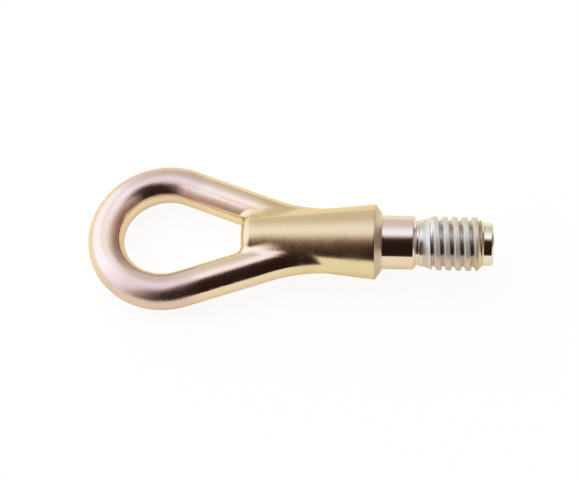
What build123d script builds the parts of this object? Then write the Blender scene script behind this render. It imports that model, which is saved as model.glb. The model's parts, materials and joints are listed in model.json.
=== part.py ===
"""Screw-in tow eye: a forged teardrop eye on a conical shank, with a turned guide collar and a coarse thread.

The part is drawn along its own axis first, with the seat of the shoulder at the origin, the thread towards +X
and the eye in the XY plane. It is then laid on z = 0 the way it comes to rest, on the crown of the eye and the
rim of the shoulder, with the origin under the middle of its length.
"""

import os
from math import acos, asin, atan2, ceil, degrees, hypot, radians, sin, tan

from build123d import *

# Eye, a round bar in the shape of a teardrop
bar_diameter = 15.0
crown_radius = 25.0  # centre line of the bar round the crown
eye_distance = 89.8  # seat of the shoulder to the centre of the crown
eye_opening_length = 49.5  # inside of the crown to the end of the shank
arm_join = 22.8  # seat to where an arm runs on beside the axis
arm_end = 14.1  # seat to the end of an arm, buried in the shank
arm_bend_radius = 70.0  # centre line where an arm turns into the shank
arm_sink = 0.25  # depth of that buried end under the skin of the shank
crease_fillet = 3.0  # where the arms run into the shank

# Conical shank and its shoulder
shank_end_diameter = 19.4
shank_end_fillet = 3.0
shoulder_diameter = 31.0
seat_diameter = 23.4
seat_chamfer_length = 2.7

# Turned end
collar_diameter = 22.0
collar_length = 14.0
collar_chamfer = 1.3
neck_diameter = 18.0
neck_length = 1.0
thread_diameter = 22.0
thread_pitch = 4.0
thread_depth = 1.7
thread_root_width = 0.5
thread_front_flank = 0.7  # run along the axis of the flank that faces the tip
thread_back_flank = 1.3  # and of the one that faces the shoulder
thread_start = 19.8  # seat to the start of the groove, over the axis
thread_end = 41.2  # seat to the end of the thread
lead_in_angle = 21.0  # cone at the start of the thread, in degrees to the axis
tip_diameter = 17.4
tip_length = 4.0
tip_chamfer = 0.8

# Sizes of the shank and the turned end that follow from these
bar_radius = bar_diameter / 2
rim_radius = shoulder_diameter / 2
rim_x = -seat_chamfer_length
shank_end_x = -eye_distance - crown_radius + bar_radius + eye_opening_length
shank_taper = (rim_radius - shank_end_diameter / 2) / (rim_x - shank_end_x)
collar_radius = collar_diameter / 2
neck_radius = neck_diameter / 2
neck_end_x = collar_length + neck_length
thread_radius = thread_diameter / 2
root_radius = thread_radius - thread_depth
lead_in_x = neck_end_x + (thread_radius - neck_radius) / tan(radians(lead_in_angle))
cutter_height = thread_depth * 1.3  # it stands clear of the crests
cutter_front = thread_root_width / 2 + thread_front_flank * 1.3
cutter_back = thread_root_width / 2 + thread_back_flank * 1.3
groove_turns = ceil((thread_end + cutter_front - thread_start) / thread_pitch)
tip_radius = tip_diameter / 2
tip_x = thread_end + tip_length

# Slope of the arms: a line that touches the crown on one side and the bend of the arm on the other
arm_offset = rim_radius - shank_taper * (rim_x + arm_end) - bar_radius - arm_sink
bend_rise = arm_offset + arm_bend_radius
crown_to_bend = hypot(eye_distance - arm_join, bend_rise)
arm_slope = asin((crown_radius + arm_bend_radius) / crown_to_bend) - atan2(bend_rise, eye_distance - arm_join)
arm_length = (crown_to_bend**2 - (crown_radius + arm_bend_radius) ** 2) ** 0.5

with BuildPart() as eye:
    with BuildLine() as half_eye:
        crown = CenterArc((-eye_distance, 0), crown_radius, 180, -90 - degrees(arm_slope))
        arm = PolarLine(crown @ 1, arm_length, direction=crown % 1)
        bend = JernArc(arm @ 1, arm % 1, arm_bend_radius, degrees(arm_slope))
        Line(bend @ 1, (-arm_end, arm_offset))
    with BuildSketch(Plane(half_eye.line @ 0, z_dir=half_eye.line % 0)):
        Circle(bar_radius)
    sweep(path=half_eye.line)
    mirror(about=Plane.XZ)

with BuildPart() as groove_turn:
    with BuildLine() as helix:
        Helix(thread_pitch, thread_pitch, root_radius, center=(thread_start, 0, 0), direction=(1, 0, 0))
    with BuildSketch(Plane(helix.line @ 0, x_dir=(0, 0, 1), z_dir=helix.line % 0)):
        with BuildLine():
            Polyline(
                (0, thread_root_width / 2),
                (cutter_height, cutter_front),
                (cutter_height, -cutter_back),
                (0, -thread_root_width / 2),
                close=True,
            )
        make_face()
    sweep(path=helix.line, is_frenet=True)

with BuildPart() as tow_eye:
    add(eye.part)

    # Shank, shoulder, collar, thread blank and tip, turned about the axis
    with BuildSketch(Plane.XZ) as turned_profile:
        with BuildLine():
            Polyline(
                (shank_end_x, 0),
                (shank_end_x, shank_end_diameter / 2),
                (rim_x, rim_radius),
                (0, seat_diameter / 2),
                (0, collar_radius),
                (collar_length - collar_chamfer, collar_radius),
                (collar_length, collar_radius - collar_chamfer),
                (collar_length, neck_radius),
                (neck_end_x, neck_radius),
                (lead_in_x, thread_radius),
                (thread_end - (thread_radius - tip_radius), thread_radius),
                (thread_end, tip_radius),
                (tip_x - tip_chamfer, tip_radius),
                (tip_x, tip_radius - tip_chamfer),
                (tip_x, 0),
                close=True,
            )
        make_face()
        fillet(turned_profile.vertices().group_by(Axis.X)[0].sort_by(Axis.Y)[-1], shank_end_fillet)
    revolve(axis=Axis.X)

    # Forged blends round each arm
    fillet(tow_eye.edges(Select.NEW), crease_fillet)

    # Thread, cut one turn after another
    with Locations([(turn * thread_pitch, 0, 0) for turn in range(groove_turns)]):
        add(groove_turn.part, mode=Mode.SUBTRACT)

# Laid down as it comes to rest, with the crown and the rim both on the floor
crown_x = -eye_distance - crown_radius
rim_span = hypot(rim_x - crown_x, rim_radius)
rest_tilt = acos(bar_radius / rim_span) - atan2(rim_x - crown_x, rim_radius)
rest_height = bar_radius - crown_x * sin(rest_tilt)
lying = Location((0, 0, rest_height), (0, -degrees(rest_tilt), 0)) * tow_eye.part
lying = Pos(-lying.bounding_box().center().X, 0, 0) * lying
lying.label = "tow_eye"

os.makedirs("parts", exist_ok=True)
export_step(lying, "parts/tow_eye.step")
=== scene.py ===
"""Screw-in tow eye: its forged and turned surfaces, its zinc plating, and a studio to see it in.

Shapes are worked out in millimetres along the part's own axis, with the seat of the shoulder at the origin,
the thread towards +X and the eye in the XY plane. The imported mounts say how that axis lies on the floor.
"""

import json
from functools import reduce
from math import asin, atan2, ceil, cos, hypot, pi, radians, sin, tan

import bmesh
import bpy
import numpy as np
from mathutils import Matrix, Vector


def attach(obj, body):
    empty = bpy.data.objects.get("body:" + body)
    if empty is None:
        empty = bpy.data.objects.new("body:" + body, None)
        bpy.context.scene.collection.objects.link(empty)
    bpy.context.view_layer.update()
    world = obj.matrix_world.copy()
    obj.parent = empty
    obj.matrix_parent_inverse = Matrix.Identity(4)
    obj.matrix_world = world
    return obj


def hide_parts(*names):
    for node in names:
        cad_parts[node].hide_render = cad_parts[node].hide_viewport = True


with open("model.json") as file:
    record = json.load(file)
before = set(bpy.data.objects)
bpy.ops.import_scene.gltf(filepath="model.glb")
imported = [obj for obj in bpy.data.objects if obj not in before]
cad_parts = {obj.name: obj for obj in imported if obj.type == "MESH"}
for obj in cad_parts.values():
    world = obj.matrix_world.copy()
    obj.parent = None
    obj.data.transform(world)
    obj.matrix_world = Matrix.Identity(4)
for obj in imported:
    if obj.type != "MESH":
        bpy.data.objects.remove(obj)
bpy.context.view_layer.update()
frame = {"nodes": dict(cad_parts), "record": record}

MM = 0.001
TINY = 1e-6

# Eye
BAR_RADIUS = 7.5
CROWN_RADIUS = 25.0
OPENING_LENGTH = 49.5
ARM_JOIN = 22.8
ARM_END = 14.1
ARM_BEND_RADIUS = 70.0
ARM_SINK = 0.25
CREASE_FILLET = 3.0
SOFT_CREASE = 7.0  # the same along the side of the shank, softer than on the solid
CREASE_SOFTENS_FROM = -54.0
CREASE_SOFTENS_TO = -44.0

# Shank
SHANK_END_RADIUS = 9.7
SHANK_END_FILLET = 4.5  # softer than on the solid
RIM_RADIUS = 15.5
RIM_X = -2.7
FORGED_TO = -8.0  # from here on the surface is drawn as a turned one

# Turned end
SEAT_RADIUS = 11.7
COLLAR_RADIUS = 11.0
COLLAR_END = 14.0
COLLAR_CHAMFER = 1.3
NECK_RADIUS = 9.0
NECK_END = 15.0
RUN_IN_STEP = 0.3  # neck to the start of the hollow before the thread
RUN_IN_RADIUS = 9.5
RUN_IN_HOLLOW = 3.2  # neck to the bend of the hollow
RUN_IN_RISE = 0.15
RUN_IN_BEND = 8.0
RUN_IN_LENGTH = 5.6  # neck to the full size of the thread
THREAD_RADIUS = 11.0
THREAD_PITCH = 4.0
THREAD_DEPTH = 1.7
THREAD_ROOT_WIDTH = 0.5
THREAD_FRONT_FLANK = 0.4  # steeper than on the solid
THREAD_BACK_FLANK = 1.3
THREAD_START = 19.8
THREAD_END = 41.2
GROOVE_EDGE = 0.12  # softening of the edges of the groove
GROOVE_FADE = (-0.2, 0.12)  # turns over which the groove fades in
TIP_RADIUS = 8.7
TIP_END = 45.2
TIP_CENTRE_RADIUS = 0.01  # last ring of the outline, closed by a small face
TIP_CHAMFER = 0.8

# Rounding of the turned corners
CRISP_EDGE = 0.2
EDGE = 0.25
SOFT_EDGE = 0.3
NECK_FILLET = 0.35
TIP_FILLET = 0.4

# Fineness of the surfaces
FORGED_GRAIN = 0.68
TURNED_STEP = 0.7
THREAD_STEP = 0.14
ROUND_TURNS = 192
ARC_STEPS = 5
DRAWING_STEPS = 8

mounts = {mount["name"]: mount for mount in frame["record"]["mounts"]}
collar = mounts["guide_collar"]
axis = Vector(collar["axis"])
seat = Vector(collar["pos_m"]) - axis * collar["dims"]["length_mm"] / 2 * MM
eye_distance = (Vector(mounts["eye"]["pos_m"]) - seat).length / MM
across = Vector((0, 1, 0))
turned = Matrix((axis, across, axis.cross(across))).transposed().to_4x4()
lying = Matrix.Translation(seat) @ turned @ Matrix.Scale(MM, 4)

shank_end_x = -eye_distance - CROWN_RADIUS + BAR_RADIUS + OPENING_LENGTH
shank_taper = (RIM_RADIUS - SHANK_END_RADIUS) / (RIM_X - shank_end_x)


def shank_radius(x):
    return RIM_RADIUS - shank_taper * (RIM_X - x)


def closest_on_line(x, y, start, end):
    along = np.subtract(end, start)
    share = np.clip(((x - start[0]) * along[0] + (y - start[1]) * along[1]) / (along @ along), 0, 1)
    return start[0] + share * along[0], start[1] + share * along[1]


def closest_on_arc(x, y, centre, radius, first, last):
    angle = np.clip(np.arctan2(y - centre[1], x - centre[0]), first, last)
    return centre[0] + radius * np.cos(angle), centre[1] + radius * np.sin(angle)


def rolled_corner(first, second, between):
    """Shares of two surfaces in a rolled corner, and the distance from its middle, by their cosine."""
    first_part, second_part = first - between * second, second - between * first
    square = first * first + second * second - 2 * between * first * second
    return first_part, second_part, np.sqrt(np.maximum(square, TINY**2) / (1 - between**2))


def bar(points):
    """Distance to the bent bar of the eye, and the direction away from it."""
    offset = shank_radius(-ARM_END) - BAR_RADIUS - ARM_SINK
    run = eye_distance - ARM_JOIN
    rise = offset + ARM_BEND_RADIUS
    slope = asin((CROWN_RADIUS + ARM_BEND_RADIUS) / hypot(run, rise)) - atan2(rise, run)
    crown_to = (-eye_distance + CROWN_RADIUS * sin(slope), CROWN_RADIUS * cos(slope))
    bend_from = (-ARM_JOIN - ARM_BEND_RADIUS * sin(slope), rise - ARM_BEND_RADIUS * cos(slope))
    x, y = points[:, 0], np.abs(points[:, 1])
    spots = [
        closest_on_arc(x, y, (-eye_distance, 0), CROWN_RADIUS, pi / 2 - slope, pi),
        closest_on_line(x, y, crown_to, bend_from),
        closest_on_arc(x, y, (-ARM_JOIN, rise), ARM_BEND_RADIUS, -pi / 2 - slope, -pi / 2),
        closest_on_line(x, y, (-ARM_JOIN, offset), (-ARM_END, offset)),
    ]
    half, z = np.sign(points[:, 1]), points[:, 2]
    away = np.stack([np.stack([x - near_x, (y - near_y) * half, z], 1) for near_x, near_y in spots])
    distance = np.linalg.norm(away, axis=2)
    nearest = distance.argmin(0)
    index = np.arange(len(points))
    distance, away = distance[nearest, index], away[nearest, index]
    return distance - BAR_RADIUS, away / distance[:, None]


def shank(points):
    """Distance to the cone with its rounded end, and the direction away from it."""
    spread = np.hypot(points[:, 1], points[:, 2])
    lean = 1 / hypot(1, shank_taper)
    to_end = shank_end_x - points[:, 0]
    to_side = (spread - shank_radius(points[:, 0])) * lean
    between = shank_taper * lean
    fillet = SHANK_END_FILLET
    end_part, side_part, reach = rolled_corner(to_end + fillet, to_side + fillet, between)
    rounded = (end_part > 0) & (side_part > 0)
    distance = np.where(rounded, reach - fillet, np.maximum(to_end, to_side))
    at_end = np.where(rounded, end_part, to_end > to_side)
    at_side = np.where(rounded, side_part, to_end <= to_side)
    outward = np.where(spread > TINY, at_side * lean / np.maximum(spread, TINY), 0)
    away = np.stack([-at_end - at_side * between, points[:, 1] * outward, points[:, 2] * outward], 1)
    return distance, away / np.linalg.norm(away, axis=1)[:, None]


def forging(points):
    """Distance to the forged body, with a rolled blend from bar to cone, and the direction away."""
    to_bar, bar_away = bar(points)
    to_shank, shank_away = shank(points)
    almost_opposed, almost_parallel = -0.99, 0.9999
    between = np.clip((bar_away * shank_away).sum(1), almost_opposed, almost_parallel)
    softness = smooth_step(CREASE_SOFTENS_FROM, CREASE_SOFTENS_TO, points[:, 0])
    fillet = CREASE_FILLET + (SOFT_CREASE - CREASE_FILLET) * softness
    bar_part, shank_part, reach = rolled_corner(fillet - to_bar, fillet - to_shank, between)
    blended = (bar_part > 0) & (shank_part > 0)
    distance = np.where(blended, fillet - reach, np.minimum(to_bar, to_shank))
    bar_share = np.where(blended, bar_part, to_bar < to_shank)
    shank_share = np.where(blended, shank_part, to_bar >= to_shank)
    away = bar_away * bar_share[:, None] + shank_away * shank_share[:, None]
    return distance, away / np.linalg.norm(away, axis=1)[:, None]


def forged_body(mesh):
    """Fills a bmesh with the forged surface: an even mesh of the solid, drawn tight onto the form."""
    rough = bpy.data.objects.new("rough", frame["nodes"]["tow_eye"].data.copy())
    bpy.context.scene.collection.objects.link(rough)
    remesh = rough.modifiers.new("Remesh", "REMESH")
    remesh.mode = "VOXEL"
    remesh.voxel_size = FORGED_GRAIN * MM
    even = bpy.data.meshes.new_from_object(rough.evaluated_get(bpy.context.evaluated_depsgraph_get()))
    bpy.data.objects.remove(rough)
    even.transform(lying.inverted())
    mesh.from_mesh(even)
    bpy.data.meshes.remove(even)
    everything = mesh.verts[:] + mesh.edges[:] + mesh.faces[:]
    cut = (FORGED_TO - FORGED_GRAIN, 0, 0)
    bmesh.ops.bisect_plane(mesh, geom=everything, plane_co=cut, plane_no=(1, 0, 0), clear_outer=True)
    points = np.array([vert.co for vert in mesh.verts])
    for _ in range(DRAWING_STEPS):
        distance, away = forging(points)
        points -= away * distance[:, None]
    for vert, point in zip(mesh.verts, points):
        vert.co = point


def rounded_profile():
    """Points (x, radius) of the turned outline with its corners rounded, from the shank to the tip."""
    corners = [
        (FORGED_TO, shank_radius(FORGED_TO), 0),
        (RIM_X, RIM_RADIUS, SOFT_EDGE),
        (0, SEAT_RADIUS, EDGE),
        (0, COLLAR_RADIUS, CRISP_EDGE),
        (COLLAR_END - COLLAR_CHAMFER, COLLAR_RADIUS, SOFT_EDGE),
        (COLLAR_END, COLLAR_RADIUS - COLLAR_CHAMFER, EDGE),
        (COLLAR_END, NECK_RADIUS, NECK_FILLET),
        (NECK_END, NECK_RADIUS, CRISP_EDGE),
        (NECK_END + RUN_IN_STEP, RUN_IN_RADIUS, CRISP_EDGE),
        (NECK_END + RUN_IN_HOLLOW, RUN_IN_RADIUS + RUN_IN_RISE, RUN_IN_BEND),
        (NECK_END + RUN_IN_LENGTH, THREAD_RADIUS, SOFT_EDGE),
        (THREAD_END - (THREAD_RADIUS - TIP_RADIUS), THREAD_RADIUS, SOFT_EDGE),
        (THREAD_END, TIP_RADIUS, TIP_FILLET),
        (TIP_END - TIP_CHAMFER, TIP_RADIUS, EDGE),
        (TIP_END, TIP_RADIUS - TIP_CHAMFER, EDGE),
        (TIP_END, TIP_CENTRE_RADIUS, 0),
    ]
    points = [Vector(corners[0][:2])]
    for before, corner, after in zip(corners, corners[1:], corners[2:]):
        here, radius = Vector(corner[:2]), corner[2]
        back = (Vector(before[:2]) - here).normalized()
        on = (Vector(after[:2]) - here).normalized()
        half = back.angle(on) / 2
        inset = radius / tan(half)
        middle = here + (back + on).normalized() * radius / sin(half)
        first, last = here + back * inset, here + on * inset
        points += straight(points[-1], first)
        sweep = (first - middle).angle_signed(last - middle)
        count = max(ARC_STEPS, ceil(radius * abs(sweep) / THREAD_STEP))
        for step in range(1, count + 1):
            points.append(middle + Matrix.Rotation(-sweep * step / count, 2) @ (first - middle))
    return np.array(points + straight(points[-1], Vector(corners[-1][:2])))


def straight(start, end):
    """Points from start to end, closer together along the thread."""
    step = THREAD_STEP if NECK_END < (start.x + end.x) / 2 < THREAD_END else TURNED_STEP
    count = max(2, ceil((end - start).length / step))
    return [start.lerp(end, number / count) for number in range(1, count + 1)]


def smooth_step(low, high, value):
    share = np.clip((value - low) / (high - low), 0, 1)
    return share * share * (3 - 2 * share)


def turned_end(mesh):
    """Adds the turned outline, swept round the axis, with the thread's groove sunk into it."""
    profile = rounded_profile()
    turn = np.arange(ROUND_TURNS) / ROUND_TURNS
    x, blank = profile[:, 0, None], profile[:, 1, None]
    turns_along = (x - THREAD_START) / THREAD_PITCH - turn
    groove = np.round(turns_along)
    from_groove = (turns_along - groove) * THREAD_PITCH
    root = THREAD_ROOT_WIDTH / 2 - GROOVE_EDGE
    crest = THREAD_ROOT_WIDTH / 2 + GROOVE_EDGE
    front = smooth_step(root, crest + THREAD_FRONT_FLANK, -from_groove)
    back = smooth_step(root, crest + THREAD_BACK_FLANK, from_groove)
    run_in = smooth_step(*GROOVE_FADE, groove + turn)
    thread = THREAD_RADIUS - THREAD_DEPTH * (1 - np.maximum(front, back)) * run_in
    in_thread = (x > NECK_END - 1) & (x < THREAD_END + 1)
    reach = np.where(in_thread, np.minimum(blank, thread), blank)
    y, z = -reach * np.sin(2 * pi * turn), reach * np.cos(2 * pi * turn)
    spots = np.stack([np.broadcast_to(x, reach.shape), y, z], axis=2).tolist()
    rings = [[mesh.verts.new(spot) for spot in ring] for ring in spots]
    for ring, following in zip(rings, rings[1:]):
        for number in range(ROUND_TURNS):
            after = (number + 1) % ROUND_TURNS
            mesh.faces.new((ring[number], following[number], following[after], ring[after]))
    mesh.faces.new(rings[-1])


def tow_eye_mesh():
    """The whole surface in one mesh, with exact normals on the forged part."""
    body = bmesh.new()
    forged_body(body)
    turned_end(body)
    open_rims = [edge for edge in body.edges if edge.is_boundary]
    bmesh.ops.bridge_loops(body, edges=open_rims)
    bmesh.ops.recalc_face_normals(body, faces=body.faces)
    mesh = bpy.data.meshes.new("tow_eye_forging")
    body.to_mesh(mesh)
    body.free()
    mesh.polygons.foreach_set("use_smooth", [True] * len(mesh.polygons))
    points = np.array([vertex.co for vertex in mesh.vertices])
    forged = points[:, 0] < FORGED_TO - FORGED_GRAIN / 2
    normals = np.zeros_like(points)
    normals[forged] = forging(points[forged])[1]
    mesh.normals_split_custom_set_from_vertices(normals)
    mesh.transform(lying)
    return mesh


def node(tree, kind, inputs=None, **settings):
    """Adds a node to the tree. Each input is a value, or an output of another node to link."""
    made = tree.nodes.new("ShaderNode" + kind)
    for name, value in settings.items():
        setattr(made, name, value)
    for name, value in (inputs or {}).items():
        if isinstance(value, bpy.types.NodeSocket):
            tree.links.new(value, made.inputs[name])
        else:
            made.inputs[name].default_value = value
    return made


def calc(tree, operation, first, second=0.0):
    return node(tree, "Math", {0: first, 1: second}, operation=operation).outputs[0]


def product(tree, *values):
    return reduce(lambda first, second: calc(tree, "MULTIPLY", first, second), values)


def total(tree, *values):
    return reduce(lambda first, second: calc(tree, "ADD", first, second), values)


def rest_of(tree, share):
    return calc(tree, "SUBTRACT", 1.0, share)


def distance_from(tree, value, place):
    return calc(tree, "ABSOLUTE", calc(tree, "SUBTRACT", value, place))


def ramp(tree, value, low, high, start=0.0, end=1.0):
    """A smooth change from start to end, while the value goes from low to high."""
    inputs = {"Value": value, "From Min": low, "From Max": high, "To Min": start, "To Max": end}
    return node(tree, "MapRange", inputs, interpolation_type="SMOOTHSTEP").outputs["Result"]


def colours(tree, value, low, high, stops):
    """Colours along a value, from a list of (value, colour)."""
    share = node(tree, "MapRange", {"Value": value, "From Min": low, "From Max": high}).outputs["Result"]
    band = node(tree, "ValToRGB", {"Fac": share})
    elements = band.color_ramp.elements
    while len(elements) < len(stops):
        elements.new(1)
    for element, (place, colour) in zip(elements, stops):
        element.position = (place - low) / (high - low)
        element.color = (*colour, 1)
    return band.outputs["Color"]


def mixed(tree, share, first, second):
    mix = node(tree, "Mix", data_type="RGBA")
    tree.links.new(share, mix.inputs["Factor"])
    for socket, colour in zip([socket for socket in mix.inputs if socket.type == "RGBA"], (first, second)):
        if isinstance(colour, bpy.types.NodeSocket):
            tree.links.new(colour, socket)
        else:
            socket.default_value = colour
    return [socket for socket in mix.outputs if socket.type == "RGBA"][0]


def noise(tree, place, scale, detail, roughness=0.5):
    inputs = {"Vector": place, "Scale": scale, "Detail": detail, "Roughness": roughness}
    return node(tree, "TexNoise", inputs).outputs["Fac"]


def plating():
    """Zinc plate with a yellow passivation: rosy on the eye, straw on the shank, silver on the turned end.

    The crests of the thread and its run-in are scuffed pale. Its grooves still mirror, with painted shade in
    their roots.
    """
    material = bpy.data.materials.new("zinc_plate")
    material.use_nodes = True
    tree = material.node_tree
    shader = tree.nodes["Principled BSDF"]
    shader.inputs["Specular Tint"].default_value = (1, 0.92, 0.78, 1)

    # Places in millimetres, from the seat along the axis
    where = node(tree, "TexCoord").outputs
    laid = {"Vector": where["Object"], "Location": seat, "Rotation": turned.to_euler(), "Scale": (MM, MM, MM)}
    place = node(tree, "Mapping", laid, vector_type="TEXTURE").outputs["Vector"]
    along = node(tree, "SeparateXYZ", {"Vector": place}).outputs
    x = along["X"]
    off_axis = calc(tree, "ABSOLUTE", along["Y"])
    from_axis = node(tree, "VectorMath", {0: place, 1: (0, 1, 1)}, operation="MULTIPLY").outputs["Vector"]
    from_axis = node(tree, "VectorMath", {0: from_axis}, operation="LENGTH").outputs["Value"]
    facing = node(tree, "SeparateXYZ", {"Vector": where["Normal"]}).outputs
    upward = calc(tree, "ABSOLUTE", facing["Z"])

    # Zones of the surface, each a share from 0 to 1
    rim_from, rim_to = RIM_X - 0.4, RIM_X + 0.1
    last_turn = THREAD_END - 1.5
    groove_floor = THREAD_RADIUS - THREAD_DEPTH
    along_arm = total(tree, x, ramp(tree, along["Y"], -8, 8, 0, 12))
    on_arm = calc(tree, "MAXIMUM", ramp(tree, off_axis, 9.5, 13), ramp(tree, along["Y"], -8.5, -6.5, 1, 0))
    on_arm = product(tree, on_arm, ramp(tree, along_arm, -42.8, -30.8, 1, 0))
    on_shank = product(tree, ramp(tree, x, -66.8, -48.8), rest_of(tree, on_arm))
    on_crown = product(tree, ramp(tree, off_axis, 15, 24), ramp(tree, x, -78.8, -70.8, 1, 0))
    on_turned = ramp(tree, x, rim_from, rim_to)
    on_forged = rest_of(tree, on_turned)
    on_seat = product(tree, on_turned, ramp(tree, x, -0.6, 0.2, 1, 0))
    on_thread = product(tree, ramp(tree, x, NECK_END - 0.5, 19), ramp(tree, x, last_turn, 41.4, 1, 0))
    # Roots of the thread's grooves, where shade is painted into the colour
    groove_shade = ramp(tree, from_axis, groove_floor - 0.05, groove_floor + 0.65, 1, 0)
    groove_shade = product(tree, groove_shade, on_thread)
    on_crest = ramp(tree, from_axis, THREAD_RADIUS - 0.9, THREAD_RADIUS - 0.1)
    scuffed = calc(tree, "MAXIMUM", on_crest, ramp(tree, x, 18.5, 20.5, 1, 0))
    scuffed = product(tree, scuffed, on_thread)

    # Tints along the axis: place, colour of what faces up or down, colour of the sides with painted
    # reflection
    crown_end = -eye_distance - CROWN_RADIUS
    eye_tint = -72.8
    tints = [
        (crown_end, (0.90, 0.79, 0.75), (0.86, 0.77, 0.66)),
        (eye_tint, (0.90, 0.79, 0.74), (0.85, 0.76, 0.61)),
        (-50.8, (0.83, 0.70, 0.50), (0.82, 0.77, 0.55)),
        (rim_from, (0.79, 0.68, 0.50), (0.82, 0.78, 0.55)),
        # painted shade: the seat between the rim and the collar is tinted darker
        (rim_to, (0.66, 0.62, 0.58), (0.64, 0.60, 0.54)),
        (1, (0.85, 0.82, 0.84), (0.84, 0.78, 0.68)),
        (COLLAR_END, (0.85, 0.82, 0.85), (0.84, 0.76, 0.67)),
        (NECK_END + 1.2, (0.89, 0.97, 1.0), (0.90, 0.84, 0.88)),
        (THREAD_END - 5, (0.89, 0.97, 1.0), (0.89, 0.85, 0.86)),
        (last_turn, (0.80, 0.78, 0.60), (0.74, 0.70, 0.46)),
        (THREAD_END + 1, (0.90, 0.94, 0.94), (0.84, 0.84, 0.80)),
    ]
    back_to_eye = product(tree, on_arm, calc(tree, "SUBTRACT", x, eye_tint))
    tint = calc(tree, "SUBTRACT", x, back_to_eye)
    flat = colours(tree, tint, crown_end, TIP_END, [(spot, colour) for spot, colour, _ in tints])
    side = colours(tree, tint, crown_end, TIP_END, [(spot, colour) for spot, _, colour in tints])
    patches = ramp(tree, noise(tree, place, 0.16, 3, 0.6), 0.35, 0.7, -0.3, 0.3)
    # Painted reflection: upright faces take the warmer side colour of the cream floor and grazing sheen
    base = mixed(tree, total(tree, ramp(tree, upward, 0.3, 0.95, 1, 0), patches), flat, side)
    mauve = product(tree, ramp(tree, off_axis, 6, 16), ramp(tree, x, -84, -72, 1, 0))
    mauve = product(tree, mauve, ramp(tree, upward, 0.3, 0.9))
    base = mixed(tree, mauve, base, (0.89, 0.80, 0.83, 1))
    base = mixed(tree, product(tree, on_crown, 0.75), base, (0.76, 0.62, 0.65, 1))
    # Painted reflection: forged faces towards +Y take the straw colour of the warm light behind
    straw = product(tree, ramp(tree, facing["Y"], 0.1, 0.7, 0, 0.7), ramp(tree, x, -86, -70), on_forged)
    base = mixed(tree, straw, base, (0.83, 0.77, 0.56, 1))
    # Painted shade: the roots of the grooves are darkened towards dark grey
    base = mixed(tree, product(tree, groove_shade, 0.5), base, (0.15, 0.155, 0.14, 1))
    tree.links.new(base, shader.inputs["Base Color"])
    tree.links.new(rest_of(tree, product(tree, scuffed, 0.5)), shader.inputs["Metallic"])

    # Roughness, with the grain of the forging and the lines of the turned end
    grain = noise(tree, place, 1.5, 3, 0.6)
    lines = node(tree, "TexNoise", {"W": x, "Scale": 3.0, "Detail": 3}, noise_dimensions="1D").outputs["Fac"]
    forged_rough = total(
        tree,
        ramp(tree, noise(tree, place, 0.07, 2), 0.35, 0.65, 0.11, 0.17),
        ramp(tree, grain, 0.3, 0.75, -0.03, 0.06),
        product(tree, on_crown, 0.14),
        product(tree, on_shank, 0.07),
    )
    turned_rough = total(
        tree,
        ramp(tree, lines, 0.3, 0.75, 0.07, 0.17),
        product(tree, on_thread, 0.1),
        product(tree, scuffed, 0.18),
        product(tree, on_seat, 0.24),
    )
    rough = total(tree, product(tree, forged_rough, on_forged), product(tree, turned_rough, on_turned))
    tree.links.new(rough, shader.inputs["Roughness"])

    # Relief, in millimetres
    pits = product(tree, grain, ramp(tree, x, -66.8, -48.8, 0.002, 0.005))
    waves = product(tree, noise(tree, place, 0.12, 2), 0.1)
    forged_height = product(tree, total(tree, pits, waves), on_forged)
    turned_height = product(tree, lines, 0.004, on_turned)
    bump = node(tree, "Bump", {"Height": total(tree, forged_height, turned_height), "Distance": MM})
    tree.links.new(bump.outputs["Normal"], shader.inputs["Normal"])
    return material


def dress():
    """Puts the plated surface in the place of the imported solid."""
    piece = bpy.data.objects.new("tow_eye_forging", tow_eye_mesh())
    bpy.context.scene.collection.objects.link(piece)
    piece.data.materials.append(plating())
    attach(piece, "root")
    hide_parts("tow_eye")


def floor():
    """A cream floor that keeps the part's shadow, lifted to white where seen and paler where mirrored."""
    half_width = 4.0
    mesh = bpy.data.meshes.new("floor")
    corners = [(x * half_width, y * half_width, 0) for x, y in ((-1, -1), (1, -1), (1, 1), (-1, 1))]
    mesh.from_pydata(corners, [], [(0, 1, 2, 3)])
    ground = bpy.data.objects.new("floor", mesh)
    bpy.context.scene.collection.objects.link(ground)
    material = bpy.data.materials.new("floor")
    material.use_nodes = True
    tree = material.node_tree
    shader = tree.nodes["Principled BSDF"]
    shader.inputs["Roughness"].default_value = 0.9
    shader.inputs["Specular IOR Level"].default_value = 0
    path = node(tree, "LightPath").outputs
    mirrored = calc(tree, "MAXIMUM", path["Is Glossy Ray"], path["Is Transmission Ray"])
    lit = mixed(tree, path["Is Camera Ray"], (0.95, 0.9, 0.76, 1), (0.2, 0.2, 0.195, 1))
    lift = mixed(tree, mirrored, (0.0, 0.0, 0.0, 1), (0.41, 0.38, 0.30, 1))
    lift = mixed(tree, path["Is Camera Ray"], lift, (0.89, 0.89, 0.89, 1))
    tree.links.new(lit, shader.inputs["Base Color"])
    tree.links.new(lift, shader.inputs["Emission Color"])
    shader.inputs["Emission Strength"].default_value = 1
    mesh.materials.append(material)


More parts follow.
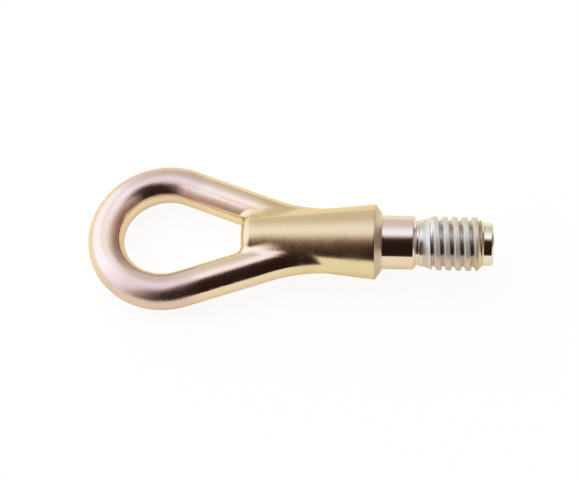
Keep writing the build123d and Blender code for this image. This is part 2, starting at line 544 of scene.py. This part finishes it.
def studio():
    """A room of soft light: bright overhead and on the left, dim behind and right, dark on the -Y side."""
    world = bpy.data.worlds.new("studio")
    bpy.context.scene.world = world
    world.use_nodes = True
    tree = world.node_tree
    way = node(tree, "TexCoord").outputs["Generated"]
    x, y, _ = node(tree, "SeparateXYZ", {"Vector": way}).outputs
    level_way = node(tree, "VectorMath", {0: way, 1: (1, 1, 0)}, operation="MULTIPLY").outputs["Vector"]
    level_way = node(tree, "VectorMath", {0: level_way}, operation="NORMALIZE").outputs["Vector"]
    turn = node(tree, "SeparateXYZ", {"Vector": level_way}).outputs["X"]

    # Overhead light, with a dim seam in it and a wavy front edge
    right_fall = ramp(tree, x, 0, 1.05, 1, 0.17)
    back_fall = total(tree, ramp(tree, x, -0.5, -0.3, 0.1, 0.37), ramp(tree, x, -0.02, 0.15, 0, 0.2))
    back_fall = product(tree, back_fall, ramp(tree, y, 0.3, 0.85))
    seam = ramp(tree, distance_from(tree, x, -0.47), 0.02, 0.12, 0.15, 0)
    seam = product(tree, seam, ramp(tree, distance_from(tree, y, 0.3), 0.05, 0.25, 1, 0))
    tongue = ramp(tree, distance_from(tree, x, -0.22), 0, 0.14, 0.3, 0)
    notch = ramp(tree, distance_from(tree, x, 0.05), 0, 0.1, 0.1, 0)
    forward = total(tree, ramp(tree, x, -0.45, -0.05, 0.1, 0), ramp(tree, x, 0.15, 0.35, 0, 0.08), tongue)
    forward = calc(tree, "SUBTRACT", forward, notch)
    overhead = product(
        tree,
        right_fall,
        rest_of(tree, back_fall),
        rest_of(tree, seam),
        ramp(tree, x, -0.65, -0.3, 1.15, 1.05),
        ramp(tree, total(tree, y, forward), -0.25, 0.21),
    )

    # Walls on the left and on the right
    left_wall = product(tree, ramp(tree, turn, -0.92, -0.62, 0.7, 0), ramp(tree, x, -0.43, -0.32, 1, 0))
    left_glow = product(tree, ramp(tree, turn, -0.78, -0.2, 0.45, 0), ramp(tree, x, -0.52, -0.18, 1, 0))
    right = product(tree, ramp(tree, turn, 0.55, 1.0), ramp(tree, x, 0.25, 0.6), right_fall)
    walls = calc(tree, "MAXIMUM", total(tree, left_wall, left_glow), right)

    # Colour of the light by its level, with a tint behind the part
    darkest, brightest = 0.014, 1.15
    level = calc(tree, "MAXIMUM", calc(tree, "MAXIMUM", overhead, walls), darkest)
    stops = [
        (0, (0, 0, 0)),
        (0.04, (0.052, 0.024, 0.016)),
        (0.4, (0.43, 0.29, 0.235)),
        (0.65, (0.63, 0.52, 0.45)),
        (1.0, (0.86, 0.84, 0.84)),
        (brightest, (1, 0.98, 0.96)),
    ]
    light = colours(tree, level, 0, brightest, stops)
    back_tint = mixed(tree, ramp(tree, y, 0.35, 0.75), (1, 1, 1, 1), (0.98, 1.05, 0.98, 1))
    light = node(tree, "VectorMath", {0: light, 1: back_tint}, operation="MULTIPLY").outputs["Vector"]
    background = tree.nodes["Background"]
    background.inputs["Strength"].default_value = 1.15
    tree.links.new(light, background.inputs["Color"])


def camera():
    """Looks down at the part from the -Y side, as the photograph does."""
    elevation, azimuth = radians(62.7), radians(3.5)
    distance = 0.6
    pixels_per_metre, image_width = 2417.6, 578
    aim = Vector((-0.0001, 0.00045, 0.0122))
    back = Vector((sin(azimuth) * cos(elevation), -cos(azimuth) * cos(elevation), sin(elevation)))
    data = bpy.data.cameras.new("camera")
    data.lens = data.sensor_width * pixels_per_metre * distance / image_width
    data.clip_start = 0.01
    eye = bpy.data.objects.new("camera", data)
    eye.location = aim + back * distance
    eye.rotation_euler = back.to_track_quat("Z", "Y").to_euler()
    bpy.context.scene.collection.objects.link(eye)
    bpy.context.scene.camera = eye


dress()
floor()
studio()
camera()
bpy.context.scene.view_settings.view_transform = "Standard"
